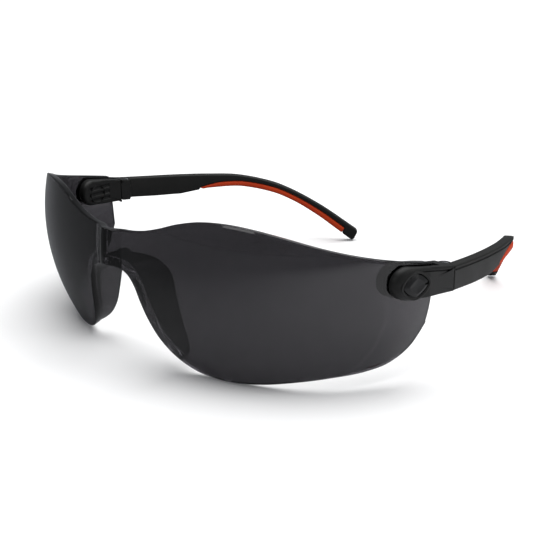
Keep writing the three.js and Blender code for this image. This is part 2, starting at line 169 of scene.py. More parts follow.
world = bpy.data.worlds.new("room")
bpy.context.scene.world = world
world.use_nodes = True
sky = world.node_tree
room = sky.nodes["Background"]
room.inputs["Color"].default_value = (0.19, 0.195, 0.205, 1)
backdrop = sky.nodes.new("ShaderNodeBackground")
backdrop.inputs["Color"].default_value = (1, 1, 1, 1)
mix = sky.nodes.new("ShaderNodeMixShader")
sky.links.new(seen_directly(sky), mix.inputs[0])
sky.links.new(room.outputs[0], mix.inputs[1])
sky.links.new(backdrop.outputs[0], mix.inputs[2])
sky.links.new(mix.outputs[0], sky.nodes["World Output"].inputs["Surface"])


# ------------------------------------------------------------ lens
# One moulding of smoke-tinted polycarbonate, 2.2 mm thick and hard coated. It wraps from
# temple to temple, folds at the nose ridge, and turns back round the nose as two flanges.
# Shapes are in millimetres with y counted from the ridge, as the moulder's drawing is.
MM = 0.001
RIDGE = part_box("lens")[0].y

LENS_THICKNESS = 2.2
LENS_EDGE = 0.4                 # radius of the polished edges
RIDGE_SWEEP = math.radians(25)
RIDGE_FILLET = 1.4              # arc length over which the ridge is rounded
RIDGE_HALF_WIDTH = 5.8
CREASE_TURN = math.radians(23.5)
CREASE_WIDTH = 2
PLAN_LENGTH = 111
PLAN_CURVATURE = ((0, 18, 36, 54, 72, 90, 110), (3.9, 6.5, 14.5, 19.3, 19.3, 24.1, 24.1))
CROWN_RADIUS = 60
CROWN_HEIGHT = 31
LENS_TOP = [
    (0, 39.8), (4, 39.7), (8, 39.9), (11, 40.3), (15, 41.1), (20, 42.5), (26, 44.5), (33, 46),
    (41, 46.3), (49, 45.5), (57, 43.9), (65, 41.8), (73, 39.7), (81, 37.8), (88, 36.3),
    (94, 35.1), (99.2, 34.1),
]
LENS_BOTTOM = [
    (0, 29.4), (4.6, 28.8), (8.2, 27.2), (10.2, 24.6), (11.7, 20.2), (13.4, 15.2), (16, 9.6),
    (20.4, 4.6), (27, 1.2), (37, 0), (48, 0.7), (60, 2.4), (71, 3.8), (81, 4.8), (89, 6.4),
    (95.6, 10.2), (100, 16.6),
]
REAR_BULGE = 0.5                # the rear edge bows backwards by this much
REAR_ROUND = 0.5                # its half round is flattened to this share
FLANGE_THICKNESS = 1.7
FLANGE_ROOT = 1.6               # fillet between the flange and the back of the lens
FLANGE_DEPTH = 10.4
FLANGE_DEPTH_TOP = 8
FLANGE_SPLAY = 0.12
FLANGE_END = 0.45               # share of the half lens at which the flange has run out
FLANGE_FADE = 2.2               # power of the share along it by which its depth falls
FLANGE_CLOSE = 0.14             # stations over which its root turns back into a plain edge
SHIELD_LINE = ((0, 5, 8, 13.5, 20, 36, 50), (70, 75, 78.7, 82.2, 84.2, 83.8, 83))
SHIELD_STEP = 0.12              # the side shield is this much thinner, past its moulding line
SHIELD_STEP_WIDTH = 0.7


def smooth_curve(points, share):
    """Centripetal Catmull-Rom curve through the points, at shares 0 to 1 of the list.

    Between two points the curve is the cubic with their positions and with end slopes
    taken from the neighbours, each spaced by the square root of its distance.
    """
    points = np.asarray(points, float)
    first, last = 2 * points[0] - points[1], 2 * points[-1] - points[-2]
    padded = np.vstack([first, points, last])
    place = np.clip(share, 0, 1) * (len(points) - 1)
    k = np.minimum(place.astype(int), len(points) - 2)
    w = (place - k)[..., None]
    p0, p1, p2, p3 = (padded[k + i] for i in range(4))
    d0, d1, d2 = (np.sqrt(np.linalg.norm(b - a, axis=-1))[..., None]
                  for a, b in ((p0, p1), (p1, p2), (p2, p3)))
    slope1 = ((p1 - p0) / d0 - (p2 - p0) / (d0 + d1) + (p2 - p1) / d1) * d1
    slope2 = ((p2 - p1) / d1 - (p3 - p1) / (d1 + d2) + (p3 - p2) / d2) * d1
    return (
        p1 + slope1 * w
        + (3 * (p2 - p1) - 2 * slope1 - slope2) * w**2
        + (2 * (p1 - p2) + slope1 + slope2) * w**3
    )


def soft_step(x):
    """0 below 0, 1 above 1 and a smooth cubic between."""
    x = np.clip(x, 0, 1)
    return x * x * (3 - 2 * x)


def lens_plan(step=0.1):
    """Table of arc length, x, y and heading of the plan curve.

    Heading is the sweep, rounded off at the ridge, plus the summed curvature, less the
    turn at the crease; x and y are the summed cosine and sine of the heading.
    """
    s = np.arange(0, PLAN_LENGTH, step)
    bend = np.cumsum(np.interp(s, *PLAN_CURVATURE)) * step / 1000
    crease = np.clip((s - RIDGE_HALF_WIDTH) / CREASE_WIDTH + 0.5, 0, 1)
    heading = RIDGE_SWEEP * soft_step(s / RIDGE_FILLET) + bend - CREASE_TURN * soft_step(crease)
    x = np.cumsum(np.cos(heading)) * step
    y = np.cumsum(np.sin(heading)) * step
    lost = RIDGE_FILLET / 2 * math.sin(RIDGE_SWEEP)
    return s, x - x[0], y - y[0] + lost, heading


PLAN = lens_plan()


def lens_point(s, z, depth):
    """Point at arc length s and height z, `depth` below the outer surface.

    The surface falls back from the foremost line of the crown by rise squared over twice
    the crown's radius, along the plan curve's own normal.
    """
    x, y, heading = (np.interp(np.abs(s), PLAN[0], column) for column in PLAN[1:])
    rise = z - CROWN_HEIGHT
    lean = np.arctan(rise / CROWN_RADIUS)
    inward = rise**2 / (2 * CROWN_RADIUS) + depth * np.cos(lean)
    side = np.where(s < 0, -1, 1)
    return np.stack([
        side * (x - np.sin(heading) * inward),
        y + np.cos(heading) * inward,
        z - depth * np.sin(lean),
    ], -1)


def lens_grid(columns, rows):
    """The right half of the lens as loops round its section, shape (columns, loop, 3).

    Each loop runs up the outer surface, over the brow edge, down the inner surface and out
    and back round the nose flange. Past the flange its points close up into a plain edge.
    """
    t = np.linspace(0, 1, columns)[:, None]
    low, high = smooth_curve(LENS_BOTTOM, t), smooth_curve(LENS_TOP, t)
    nudge = 0.01
    run = smooth_curve(LENS_BOTTOM, t + nudge) - smooth_curve(LENS_BOTTOM, t - nudge)
    run /= np.linalg.norm(run, axis=-1, keepdims=True)
    up = np.stack([-run[..., 1], run[..., 0]], -1)
    up[0] = (0, 1)
    down = (low - high) / np.linalg.norm(low - high, axis=-1, keepdims=True)
    flanged = 1 - soft_step((t - FLANGE_END) / FLANGE_CLOSE)
    root = LENS_EDGE + flanged * (FLANGE_THICKNESS + FLANGE_ROOT - LENS_EDGE)
    face = LENS_EDGE + flanged * (FLANGE_THICKNESS - LENS_EDGE)

    # The flange deepens over the first two fifths of its length and splays over a quarter.
    share = np.minimum(t / FLANGE_END, 1)
    depth = FLANGE_DEPTH_TOP + (FLANGE_DEPTH - FLANGE_DEPTH_TOP) * np.minimum(1, share * 2.5)
    depth = depth * np.sqrt(np.maximum(1 - share**FLANGE_FADE, 0))
    splay = FLANGE_SPLAY * np.minimum(1, share * 4)
    reach = np.concatenate([splay * depth, depth, 0 * depth], -1)[:, None]

    v = np.linspace(0, 1, rows)[None, :]
    quarter = np.linspace(0, np.pi / 2, 5)[None, :]

    def wall(start, end, depth_here):
        """One side of the lens, which bows backwards in a parabola near its rear edge."""
        flat = start + (end - start) * v[..., None]
        s = flat[..., 0] + REAR_BULGE * 4 * v * (1 - v) * t**8
        past = soft_step((s - np.interp(flat[..., 1], *SHIELD_LINE)) / SHIELD_STEP_WIDTH)
        thinner = SHIELD_STEP * past if depth_here == 0 else 0
        return lens_point(s, flat[..., 1], depth_here + thinner)

    brow = high + down * LENS_EDGE
    foot = low + up * LENS_EDGE
    outer = wall(foot, brow, 0)
    inner = wall(brow, low + up * root[..., None], LENS_THICKNESS)

    def on_lens(flat, depth_here):
        """Points of the lens at flat places [s, z], at one depth or a depth for each."""
        return lens_point(flat[..., 0], flat[..., 1], depth_here + 0 * flat[..., 0])

    def corner(base, towards, from_depth, sign):
        """Quarter round between a wall and an edge."""
        flat = base + towards * (LENS_EDGE * np.sin(quarter))[..., None]
        return on_lens(flat, from_depth + sign * LENS_EDGE * (1 - np.cos(quarter)))

    brow_front = corner(brow, -down, 0, 1)
    brow_back = corner(brow, -down, LENS_THICKNESS, -1)[:, ::-1]
    foot_front = corner(foot, -up, 0, 1)[:, ::-1]

    eye_root = on_lens(low + up * face[..., None], LENS_THICKNESS)
    nose_root = on_lens(low, LENS_THICKNESS - LENS_EDGE * (1 - flanged))
    start = inner[:, -1:]
    bite = np.minimum(1, FLANGE_ROOT / np.maximum(depth, 0.01))[..., None]
    q = np.linspace(0, 1, 7)[1:, None]
    fillet = (1 - q)**2 * start + 2 * q * (1 - q) * eye_root + q**2 * (eye_root + reach * bite)
    eye_wall = eye_root + reach * (bite + (1 - bite) * np.linspace(0, 1, 9)[1:, None])
    rim_angle = np.linspace(0, np.pi, 9)[1:-1, None]
    eye_rim, nose_rim = eye_root + reach, nose_root + reach
    middle, half = (eye_rim + nose_rim) / 2, (eye_rim - nose_rim) / 2
    bulge = reach / np.maximum(depth, 1)[..., None] * 0.8
    rim = middle + half * np.cos(rim_angle) + bulge * np.sin(rim_angle)
    nose_wall = nose_root + reach * np.linspace(1, 0, 9)[:, None]
    loops = np.concatenate([
        outer[:, :-1], brow_front, brow_back, inner[:, 1:], fillet, eye_wall, rim, nose_wall,
        foot_front[:, :-1],
    ], 1)

    # The rear edge: the last loop shrinks onto the line half way through the wall, in a
    # flattened half round. Its brow and foot points gather at the line's two ends.
    half_way = LENS_THICKNESS / 2
    brow_points = brow_front.shape[1] + brow_back.shape[1]
    foot_points = loops.shape[1] - brow_points - 2 * (rows - 1)

    def round_the_loop(line):
        ends = np.repeat(line[-1:], brow_points, 0), np.repeat(line[:1], foot_points, 0)
        return np.concatenate([line[:-1], ends[0], line[::-1][1:], ends[1]])

    before, spine = wall(foot, brow, half_way)[-2:]
    rearward = (spine - before) / np.linalg.norm(spine - before, axis=-1, keepdims=True)
    angle = np.linspace(0, np.pi / 2, 7)[1:, None, None]
    spine_loop = round_the_loop(spine)
    rounded = spine_loop + (loops[-1] - spine_loop) * np.cos(angle)
    rounded = rounded + round_the_loop(rearward) * half_way * REAR_ROUND * np.sin(angle)
    return np.concatenate([loops, rounded])


def mesh_of_grids(name, grids, sharp=32, mirrored=False):
    """One object from grids of shape (m, n, 3) in drawing millimetres; n closes on itself.

    Corner (i, j) joins (i+1, j), (i+1, j+1) and (i, j+1). Points that meet are merged, each
    island is turned outwards, and edges over `sharp` degrees stay crisp.
    """
    points, faces, count = [], [], 0
    for grid in grids:
        m, n = grid.shape[:2]
        i, j = np.meshgrid(np.arange(m - 1), np.arange(n), indexing="ij")
        k = (j + 1) % n
        quads = np.stack([i * n + j, (i + 1) * n + j, (i + 1) * n + k, i * n + k], -1)
        faces.append(quads.reshape(-1, 4) + count)
        points.append(grid.reshape(-1, 3))
        count += m * n
    place = np.concatenate(points) * MM
    if mirrored:
        place = place * (-1, 1, 1)
    place = place + (0, RIDGE, 0)
    mesh = bpy.data.meshes.new(name)
    mesh.from_pydata(place.tolist(), [], np.concatenate(faces).tolist())
    work = bmesh.new()
    work.from_mesh(mesh)
    bmesh.ops.remove_doubles(work, verts=work.verts, dist=2e-6)
    bmesh.ops.dissolve_degenerate(work, edges=work.edges, dist=1e-7)
    bmesh.ops.recalc_face_normals(work, faces=work.faces)
    work.to_mesh(mesh)
    work.free()
    mesh.polygons.foreach_set("use_smooth", np.ones(len(mesh.polygons), bool))
    mesh.set_sharp_from_angle(angle=math.radians(sharp))
    thing = bpy.data.objects.new(name, mesh)
    bpy.context.scene.collection.objects.link(thing)
    return thing


def node_group(name, inputs, outputs):
    """An empty shader node group: (group, input node, output node).

    Inputs are given as (name, type, value) and outputs as (name, type).
    """
    group = bpy.data.node_groups.new(name, "ShaderNodeTree")
    for label, kind, value in inputs:
        group.interface.new_socket(label, in_out="INPUT", socket_type=kind).default_value = value
    for label, kind in outputs:
        group.interface.new_socket(label, in_out="OUTPUT", socket_type=kind)
    return group, group.nodes.new("NodeGroupInput"), group.nodes.new("NodeGroupOutput")


def handling_marks_group():
    """Fingerprints and wipe marks: soft noise blotches, and fine stretched noise for scratches."""
    group, given, result = node_group(
        "handling_marks",
        [("Smudge Scale", "NodeSocketFloat", 90), ("Clean", "NodeSocketFloat", 0.05),
         ("Smudged", "NodeSocketFloat", 0.15)],
        [("Roughness", "NodeSocketFloat"), ("Scratch Height", "NodeSocketFloat")],
    )
    place = group.nodes.new("ShaderNodeTexCoord")
    blotch = group.nodes.new("ShaderNodeTexNoise")
    blotch.inputs["Detail"].default_value = 5
    blotch.inputs["Roughness"].default_value = 0.62
    level = group.nodes.new("ShaderNodeMapRange")
    level.inputs["From Min"].default_value = 0.45
    level.inputs["From Max"].default_value = 0.75
    stretch = group.nodes.new("ShaderNodeMapping")
    stretch.inputs["Scale"].default_value = (260, 1900, 900)
    stretch.inputs["Rotation"].default_value = (0.5, 0.3, 0.4)
    scratch = group.nodes.new("ShaderNodeTexNoise")
    scratch.inputs["Scale"].default_value = 1
    scratch.inputs["Detail"].default_value = 2
    link = group.links.new
    link(place.outputs["Object"], blotch.inputs["Vector"])
    link(given.outputs["Smudge Scale"], blotch.inputs["Scale"])
    link(blotch.outputs["Fac"], level.inputs["Value"])
    link(given.outputs["Clean"], level.inputs["To Min"])
    link(given.outputs["Smudged"], level.inputs["To Max"])
    link(level.outputs["Result"], result.inputs["Roughness"])
    link(place.outputs["Object"], stretch.inputs["Vector"])
    link(stretch.outputs["Vector"], scratch.inputs["Vector"])
    link(scratch.outputs["Fac"], result.inputs["Scratch Height"])
    return group


def place_group(tree, group, **values):
    """Puts a node group into a material with its own values."""
    node = tree.nodes.new("ShaderNodeGroup")
    node.node_tree = group
    for label, value in values.items():
        node.inputs[label.replace("_", " ")].default_value = value
    return node


def bump(tree, height, strength, distance, shader):
    """A Bump node from a height output to the shader's normal."""
    node = tree.nodes.new("ShaderNodeBump")
    node.inputs["Strength"].default_value = strength
    node.inputs["Distance"].default_value = distance
    tree.links.new(height, node.inputs["Height"])
    tree.links.new(node.outputs["Normal"], shader.inputs["Normal"])


handling_marks = handling_marks_group()

SMOKE_TINT = (0.0180, 0.0171, 0.0194)
SHIELD_TINT = (0.0310, 0.0292, 0.0330)
SHIELD_FROM = (0.0665, 0.0700)  # metres from the middle over which the tint turns paler


def smoke_polycarbonate():
    """Dark tinted clear plastic; the tint is paler in the thin side shields."""
    material, tree, shader = new_material("smoke_polycarbonate", SMOKE_TINT, 0.04)
    shader.inputs["Transmission Weight"].default_value = 1
    shader.inputs["IOR"].default_value = 1.45
    marks = place_group(tree, handling_marks, Smudge_Scale=70, Clean=0.03, Smudged=0.09)
    tree.links.new(marks.outputs["Roughness"], shader.inputs["Roughness"])
    bump(tree, marks.outputs["Scratch Height"], 0.02, 0.0001, shader)
    place = tree.nodes.new("ShaderNodeTexCoord")
    split = tree.nodes.new("ShaderNodeSeparateXYZ")
    side = tree.nodes.new("ShaderNodeMath")
    side.operation = "ABSOLUTE"
    zone = tree.nodes.new("ShaderNodeMapRange")
    zone.interpolation_type = "SMOOTHSTEP"
    zone.inputs["From Min"].default_value = SHIELD_FROM[0]
    zone.inputs["From Max"].default_value = SHIELD_FROM[1]
    tint = tree.nodes.new("ShaderNodeMix")
    tint.data_type = "RGBA"
    tint.inputs["A"].default_value = (*SMOKE_TINT, 1)
    tint.inputs["B"].default_value = (*SHIELD_TINT, 1)
    tree.links.new(place.outputs["Object"], split.inputs[0])
    tree.links.new(split.outputs["X"], side.inputs[0])
    tree.links.new(side.outputs[0], zone.inputs["Value"])
    tree.links.new(zone.outputs["Result"], tint.inputs["Factor"])
    tree.links.new(tint.outputs["Result"], shader.inputs["Base Color"])
    return material


half_lens = lens_grid(220, 40)
left_half = half_lens[:0:-1] * (-1, 1, 1)
lens = mesh_of_grids("lens_moulding", [np.concatenate([left_half, half_lens])])
lens.data.materials.append(smoke_polycarbonate())
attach(lens, "lens_frame")
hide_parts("lens")


# ------------------------------------------------------------ end piece housings
# Glass-filled nylon shells that straddle the lens's upper rear corner. The outer face has
# a soft bevel round its front, a seat for the pivot button and, behind, the hinge block.
PIVOT = Vector(next(j["pos_m"] for j in frame["joints"] if j["name"] == "right_tilt")) / MM
HINGE = Vector(next(j["pos_m"] for j in frame["joints"] if j["name"] == "right_fold")) / MM
PIVOT_Y = PIVOT.y - RIDGE / MM
PIVOT_Z = PIVOT.z
HINGE_Y = HINGE.y - RIDGE / MM
FACE_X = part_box("right_temple_arm")[1].x / MM
FACE_TAPER = 0.15
FACE_FRONT = 50
INNER_X = 67.4
INNER_TAPER = 0.14
BLOCK_FRONT = 56.35             # the hinge block starts here, behind the lens
SEAM = HINGE_Y - 0.15
NOSE = (43, 30.6)
NOSE_R = 4.4
TOP_LINE = [(60.45, 32), (56, 32.8), (52, 33.6), (47, 34.4), (43.31, 34.99)]
BOTTOM_LINE = [(42.85, 26.2), (47, 26), (53, 25.6), (60.45, 24.9)]
HINGE_LOW, HINGE_HIGH = BOTTOM_LINE[-1][1], TOP_LINE[0][1]
AROUND = 224                    # points in every ring of an end piece
SIDE_COSINE = 0.15              # of the lens plan's heading, half way along an end piece


def end_outline():
    """Side outline of the end piece as AROUND points [y, z], by even angle round the pivot.

    Smooth curves along the top and bottom, a half circle at the front and a straight seam;
    each ray from the pivot takes its radius from the outline, finely sampled by angle. The
    rays next to the two rear corners are turned to meet them.
    """
    share = np.linspace(0, 1, 400)
    angle = np.radians(np.linspace(86, 268, 400))
    front = np.stack([NOSE[0] + NOSE_R * np.cos(angle), NOSE[1] + NOSE_R * np.sin(angle)], -1)
    rear = np.stack([np.full(200, SEAM), np.linspace(HINGE_LOW, HINGE_HIGH, 200)], -1)
    top, bottom = smooth_curve(TOP_LINE, share), smooth_curve(BOTTOM_LINE, share)
    line = np.concatenate([top, front, bottom, rear]) - (PIVOT_Y, PIVOT_Z)
    bearing = np.arctan2(line[:, 1], line[:, 0])
    order = np.argsort(bearing)
    rays = np.linspace(-np.pi, np.pi, AROUND, endpoint=False)
    for corner in (HINGE_LOW, HINGE_HIGH):
        exact = math.atan2(corner - PIVOT_Z, SEAM - PIVOT_Y)
        rays[np.argmin(np.abs(rays - exact))] = exact
    radius = np.interp(rays, bearing[order], np.hypot(*line[order].T), period=2 * np.pi)
    return np.stack([radius * np.cos(rays), radius * np.sin(rays)], -1) + (PIVOT_Y, PIVOT_Z)


def inset(outline, distance):
    """The outline moved inwards by a distance, along its own normals."""
    run = np.roll(outline, -1, 0) - np.roll(outline, 1, 0)
    run /= np.linalg.norm(run, axis=-1, keepdims=True)
    distance = np.broadcast_to(distance, len(outline))[:, None]
    return outline + distance * np.stack([-run[:, 1], run[:, 0]], -1)


def outer_face(y):
    """x of the flat outer face: level at the hinge, falling inwards towards the front."""
    return FACE_X - FACE_TAPER * np.maximum(FACE_FRONT - y, 0)


def inner_face(y):
    """x of the flat face on the wearer's side."""
    return INNER_X - INNER_TAPER * (HINGE_Y - y)


def lens_side(y, z, depth):
    """x of the lens at that place, `depth` below its outer surface."""
    s = np.linspace(60, 104, 500)
    x, plan_y, heading = (np.interp(s, PLAN[0], column) for column in PLAN[1:])
    inward = (z - CROWN_HEIGHT)**2 / (2 * CROWN_RADIUS)
    shift = np.broadcast_to(inward + depth, np.shape(y))
    at = np.interp(np.ravel(y) - np.ravel(shift) * SIDE_COSINE, plan_y, x)
    slope = np.interp(np.ravel(y), plan_y, np.sin(heading))
    return (at - slope * np.ravel(shift)).reshape(np.shape(y))


def ring(outline, x):
    """A closed ring of 3-D points from an outline [y, z] and its x."""
    x = np.broadcast_to(x, len(outline))
    return np.stack([x, outline[:, 0], outline[:, 1]], -1)


def between(a, b, shares):
    """Rings from outline a to outline b at the given shares."""
    return [a + (b - a) * share for share in shares]


BUTTON_LENGTH = 8.4
BUTTON_HEIGHT = 6.2
BUTTON_POWER = 1.45
LIP_POWER = 1.75
SEAT_GAP = 0.3
SEAT_FLOOR = 1.2                # depth of the button's seat below the outer face


def circle(radius):
    """A circle round the pivot, as [y, z]."""
    rays = np.linspace(-np.pi, np.pi, AROUND, endpoint=False)
    return np.stack([PIVOT_Y + radius * np.cos(rays), PIVOT_Z + radius * np.sin(rays)], -1)


def rhombus(length, height, power=BUTTON_POWER):
    """Rounded rhombus round the pivot: |y| and |z| over the half sizes, to a power, sum to 1."""
    rays = np.linspace(-np.pi, np.pi, AROUND, endpoint=False)
    c, s = np.cos(rays), np.sin(rays)
    r = (np.abs(c)**power + np.abs(s)**power)**(-1 / power)
    return np.stack([PIVOT_Y + r * c * length / 2, PIVOT_Z + r * s * height / 2], -1)


CLEARANCE_FRONT = 0.1
CLEARANCE_ADDED = 0.35
BLOCK_STEP = 0.3                # the inner side steps over from the lens to the block in this
BEVEL_FRONT = 2.3               # width of the bevel round the front
BEVEL_TOP = 0.6                 # width of the band over the line, along the top
BEVEL_EDGE = 0.25               # width and drop of the rounded edge elsewhere
LINE_DEPTH = 0.35
COLLAR_HEIGHT = 0.12


def lens_clearance(y):
    """Gap over the lens: close at the front rim and wider where tilting needs the room."""
    return CLEARANCE_FRONT + CLEARANCE_ADDED * soft_step((y - 41) / 8)


def shell_inside(outline):
    """x of the housing's inner side: it clears the lens, then steps in to the hinge block."""
    clear = lens_side(outline[:, 0], outline[:, 1], -lens_clearance(outline[:, 0]))
    step = soft_step((outline[:, 0] - BLOCK_FRONT) / BLOCK_STEP)
    return clear + (INNER_X - clear) * step


def housing_rings():
    """Rings from the middle of the back, over the rim and the bevel, to the button's seat."""
    edge = end_outline()
    y, z = edge.T
    hub = circle(0)
    rings = [ring(flat, shell_inside(flat))
             for flat in between(hub, inset(edge, 0.3), np.linspace(0, 1, 14))]
    wall = shell_inside(edge)
    rings.append(ring(edge, wall + 0.15))
    # The bevel is widest round the front. Along the top it stays as a narrow band over a line.
    front = soft_step((FACE_FRONT - y) / 9)
    upper = 0.35 + 0.65 * soft_step((z - PIVOT_Z + 3) / 4)
    above = soft_step((z - PIVOT_Z - 1) / 1.5) * soft_step((SEAM - y) / 1.2)
    bevel = BEVEL_EDGE + np.maximum(BEVEL_FRONT * front * upper, BEVEL_TOP * above)
    height = np.maximum(outer_face(y) - wall - 0.6 - BEVEL_EDGE, 0)
    drop = BEVEL_EDGE + np.maximum(height * front * upper, BEVEL_EDGE * above)
    line = LINE_DEPTH * above * soft_step((y - 42) / 3) * soft_step((SEAM - 0.5 - y) / 1.5)
    for angle in np.radians([0, 12, 24, 36, 50, 64, 78, 90]):
        flat = inset(edge, bevel * (1 - math.cos(angle)))
        rings.append(ring(flat, outer_face(flat[:, 0]) - drop * (1 - math.sin(angle))))
    level = inset(edge, bevel + 0.4)
    for wide, deep in ((0.08, 0.9), (0.2, 1), (0.32, 0.9), (0.4, 0)):
        flat = inset(edge, bevel + wide)
        rings.append(ring(flat, outer_face(flat[:, 0]) - line * deep))
    lip = rhombus(BUTTON_LENGTH + 1.9, BUTTON_HEIGHT + 1.7, LIP_POWER)
    for flat in between(level, lip, np.linspace(0.04, 1, 12)):
        rings.append(ring(flat, outer_face(flat[:, 0])))
    # A low raised collar stands round the seat.
    seat = rhombus(BUTTON_LENGTH + 2 * SEAT_GAP, BUTTON_HEIGHT + 2 * SEAT_GAP)
    for share in np.linspace(0.1, 1, 9):
        flat = lip + (seat - lip) * share
        proud = COLLAR_HEIGHT * math.sin(math.pi * share**0.7)
        rings.append(ring(flat, outer_face(flat[:, 0]) + proud))
    well = inset(seat, 0.05)
    floor_x = outer_face(PIVOT_Y) - SEAT_FLOOR
    rings.append(ring(well, outer_face(seat[:, 0]) - 0.15))
    rings.append(ring(well, floor_x))
    for flat in between(well, hub, (0.5, 1)):
        rings.append(ring(flat, floor_x))
    return np.stack(rings)


KNUCKLE_R = 2.1
KNUCKLE_HEIGHT = 2.1
KNUCKLE_GAP = 0.3
SCREW_HOLE_R = 1.45


def knuckle(z0, z1, bore, edge=0.25):
    """Hinge knuckle: a ring section of rounded corners turned about the hinge's own axis."""
    r, z = np.array([
        (bore, z0 + edge), (bore + edge, z0), (KNUCKLE_R - edge, z0), (KNUCKLE_R, z0 + edge),
        (KNUCKLE_R, z1 - edge), (KNUCKLE_R - edge, z1), (bore + edge, z1), (bore, z1 - edge),
    ]).T
    angle = np.linspace(0, 2 * np.pi, 49)
    x = HINGE.x + np.outer(np.cos(angle), r)
    y = HINGE_Y + np.outer(np.sin(angle), r)
    return np.stack([x, y, np.broadcast_to(z, x.shape)], -1)


def surface_grain_group():
    """Moulded skin: very fine noise for the eroded texture, and a slow noise for its tone."""
    group, given, result = node_group(
        "surface_grain",
        [("Grain Scale", "NodeSocketFloat", 4200), ("Tone Scale", "NodeSocketFloat", 60)],
        [("Height", "NodeSocketFloat"), ("Tone", "NodeSocketFloat")],
    )
    place = group.nodes.new("ShaderNodeTexCoord")
    fine = group.nodes.new("ShaderNodeTexNoise")
    fine.inputs["Detail"].default_value = 3
    slow = group.nodes.new("ShaderNodeTexNoise")
    slow.inputs["Detail"].default_value = 4
    group.links.new(place.outputs["Object"], fine.inputs["Vector"])
    group.links.new(place.outputs["Object"], slow.inputs["Vector"])
    group.links.new(given.outputs["Grain Scale"], fine.inputs["Scale"])
    group.links.new(given.outputs["Tone Scale"], slow.inputs["Scale"])
    group.links.new(fine.outputs["Fac"], result.inputs["Height"])
    group.links.new(slow.outputs["Fac"], result.inputs["Tone"])
    return group


surface_grain = surface_grain_group()


MOULDED_SPECULAR = 0.18         # low gloss level for dull moulded skins; 0.5 is usual


def moulded(name, dark, light, roughness, grain_scale, relief):
    """A moulded finish: tone between two colours, roughness range, and grain as fine bump."""
    material, tree, shader = new_material(name, dark, roughness[0])
    shader.inputs["Specular IOR Level"].default_value = MOULDED_SPECULAR
    grain = place_group(tree, surface_grain, Grain_Scale=grain_scale)
    level = tree.nodes.new("ShaderNodeMapRange")
    level.inputs["From Min"].default_value = 0.35
    level.inputs["From Max"].default_value = 0.68
    tint = tree.nodes.new("ShaderNodeMix")
    tint.data_type = "RGBA"
    tint.inputs["A"].default_value = (*dark, 1)
    tint.inputs["B"].default_value = (*light, 1)
    gloss = tree.nodes.new("ShaderNodeMapRange")
    gloss.inputs["To Min"].default_value = roughness[0]
    gloss.inputs["To Max"].default_value = roughness[1]
    tree.links.new(grain.outputs["Tone"], level.inputs["Value"])
    tree.links.new(level.outputs["Result"], tint.inputs["Factor"])
    tree.links.new(tint.outputs["Result"], shader.inputs["Base Color"])
    tree.links.new(level.outputs["Result"], gloss.inputs["Value"])
    tree.links.new(gloss.outputs["Result"], shader.inputs["Roughness"])
    bump(tree, grain.outputs["Height"], relief, 0.0001, shader)
    return material


housing_nylon = moulded(
    "housing_nylon", (0.0070, 0.0072, 0.0070), (0.0108, 0.0110, 0.0106),
    roughness=(0.36, 0.48), grain_scale=5200, relief=0.35)

shell = housing_rings()
lower_knuckle = knuckle(HINGE_LOW, HINGE_LOW + KNUCKLE_HEIGHT, SCREW_HOLE_R)
upper_knuckle = knuckle(HINGE_HIGH - KNUCKLE_HEIGHT, HINGE_HIGH, SCREW_HOLE_R)


def pair(name, grids, material, body, nodes, sharp=32):
    """The same piece on both sides, the left one mirrored, riding on its side's body."""
    for side in ("right", "left"):
        piece = mesh_of_grids(f"{side}_{name}", grids, sharp, side == "left")
        piece.data.materials.append(material)
        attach(piece, f"{side}_{body}")
        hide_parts(*(f"{side}_{node}" for node in nodes))


pair("housing_shell", [shell, lower_knuckle, upper_knuckle], housing_nylon,
     "endpiece", ["endpiece_outer"])


# ------------------------------------------------------------ inner plates and pivot caps
# The nylon plate on the wearer's side clamps the lens against the housing. Three level
# finger grooves cross it and the press-fit cap that closes the pivot.
GROOVES = 3
GROOVE_PITCH = 2.1
GROOVE_DEPTH = 0.45
GROOVE_WIDTH = 0.9
GROOVE_FROM = 41.2
GROOVE_TO = 51
CAP_R = 3.2
CAP_GAP = 0.07
PLATE_REAR = 56.05


def groove_depth(y, z):
    """Depth of the finger grooves: round-bottomed channels at even heights, fading at the ends."""
    ends = soft_step((y - GROOVE_FROM) / 0.8) * soft_step((GROOVE_TO - y) / 0.8)
    lowest = PIVOT_Z - GROOVE_PITCH * (GROOVES - 1) / 2
    line = np.clip(np.round((z - lowest) / GROOVE_PITCH), 0, GROOVES - 1)
    away = np.abs(z - lowest - line * GROOVE_PITCH) / (GROOVE_WIDTH * 0.75)
    return GROOVE_DEPTH * ends * np.sqrt(np.clip(1 - away**2, 0, 1))


def plate_rings():
    """Rings from the middle of the back, over the rounded rim, to the cap's recess."""
    edge = end_outline()
    edge[:, 0] = np.minimum(edge[:, 0], PLATE_REAR)
    hub = circle(0)
    rings = []
    for flat in between(hub, inset(edge, 0.25), np.linspace(0, 1, 12)):
        depth = LENS_THICKNESS + lens_clearance(flat[:, 0])
        rings.append(ring(flat, lens_side(flat[:, 0], flat[:, 1], depth)))
    clear = lens_side(edge[:, 0], edge[:, 1], LENS_THICKNESS + lens_clearance(edge[:, 0]))
    rings.append(ring(edge, clear - 0.25))
    front = 1 - soft_step((edge[:, 0] - NOSE[0]) / 6)
    round_over = 0.3 + 0.9 * front
    for angle in np.radians([0, 18, 36, 54, 72, 90]):
        flat = inset(edge, round_over * (1 - math.cos(angle)))
        rings.append(ring(flat, inner_face(flat[:, 0]) + round_over * (1 - math.sin(angle))))
    level = inset(edge, round_over)
    recess = circle(CAP_R + CAP_GAP)
    for flat in between(level, recess, np.linspace(0.02, 1, 44)):
        rings.append(ring(flat, inner_face(flat[:, 0]) + groove_depth(*flat.T)))
    recess_floor = inner_face(PIVOT_Y) + 1.1
    rings.append(ring(recess, recess_floor))
    rings.append(ring(hub, recess_floor))
    return np.stack(rings)


